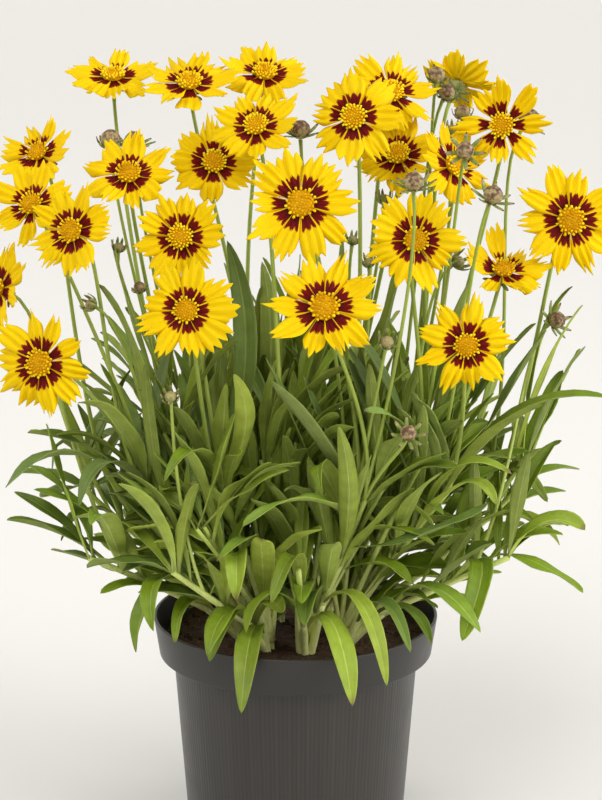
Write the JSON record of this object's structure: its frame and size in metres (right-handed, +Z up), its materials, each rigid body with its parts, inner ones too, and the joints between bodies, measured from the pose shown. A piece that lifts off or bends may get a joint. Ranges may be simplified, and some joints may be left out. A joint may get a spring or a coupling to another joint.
{
  "type": "potted coreopsis",
  "caption": "Bushy garden coreopsis in bloom, with leafy stems, buds and seed heads, standing in soil in a round plastic nursery pot.",
  "frame": {"origin": "centre of the flat underside of the pot", "axes": "+Z up; -Y is the front, the side that most blooms face; +X is to the right of one looking at the front"},
  "size_m": [0.3766, 0.2538, 0.4698],
  "materials": {
    "pot": "satin, with fine upright striations",
    "soil": "damp crumbly potting soil, matte",
    "foliage": "living leaf and stem, soft sheen",
    "ray_florets": "petal, matte, yellow with a maroon base",
    "disc_florets": "grainy orange-yellow florets, matte"
  },
  "bodies": {
    "root": {"pot": "pot", "soil": "soil", "shoot_1": "foliage", "shoot_2": "foliage", "shoot_3": "foliage", "shoot_4": "foliage", "shoot_5": "foliage", "shoot_6": "foliage", "shoot_7": "foliage", "shoot_8": "foliage", "bloom_01_disc": "disc_florets", "bloom_01_rays": "ray_florets", "bloom_02_disc": "disc_florets", "bloom_02_rays": "ray_florets", "bloom_03_disc": "disc_florets", "bloom_03_rays": "ray_florets", "bloom_04_disc": "disc_florets", "bloom_04_rays": "ray_florets", "bloom_05_disc": "disc_florets", "bloom_05_rays": "ray_florets", "bloom_06_disc": "disc_florets", "bloom_06_rays": "ray_florets", "bloom_07_disc": "disc_florets", "bloom_07_rays": "ray_florets", "bloom_08_disc": "disc_florets", "bloom_08_rays": "ray_florets", "bloom_09_disc": "disc_florets", "bloom_09_rays": "ray_florets", "bloom_10_disc": "disc_florets", "bloom_10_rays": "ray_florets", "bloom_11_disc": "disc_florets", "bloom_11_rays": "ray_florets", "bloom_12_disc": "disc_florets", "bloom_12_rays": "ray_florets", "bloom_13_disc": "disc_florets", "bloom_13_rays": "ray_florets", "bloom_14_disc": "disc_florets", "bloom_14_rays": "ray_florets", "bloom_15_disc": "disc_florets", "bloom_15_rays": "ray_florets", "bloom_16_disc": "disc_florets", "bloom_16_rays": "ray_florets", "bloom_17_disc": "disc_florets", "bloom_17_rays": "ray_florets", "bloom_18_disc": "disc_florets", "bloom_18_rays": "ray_florets", "bloom_19_disc": "disc_florets", "bloom_19_rays": "ray_florets", "bloom_20_disc": "disc_florets", "bloom_20_rays": "ray_florets", "bloom_21_disc": "disc_florets", "bloom_21_rays": "ray_florets", "bloom_22_disc": "disc_florets", "bloom_22_rays": "ray_florets", "bloom_23_disc": "disc_florets", "bloom_23_rays": "ray_florets", "bloom_24_disc": "disc_florets", "bloom_24_rays": "ray_florets", "bloom_25_disc": "disc_florets", "bloom_25_rays": "ray_florets"}
  },
  "joints": []
}
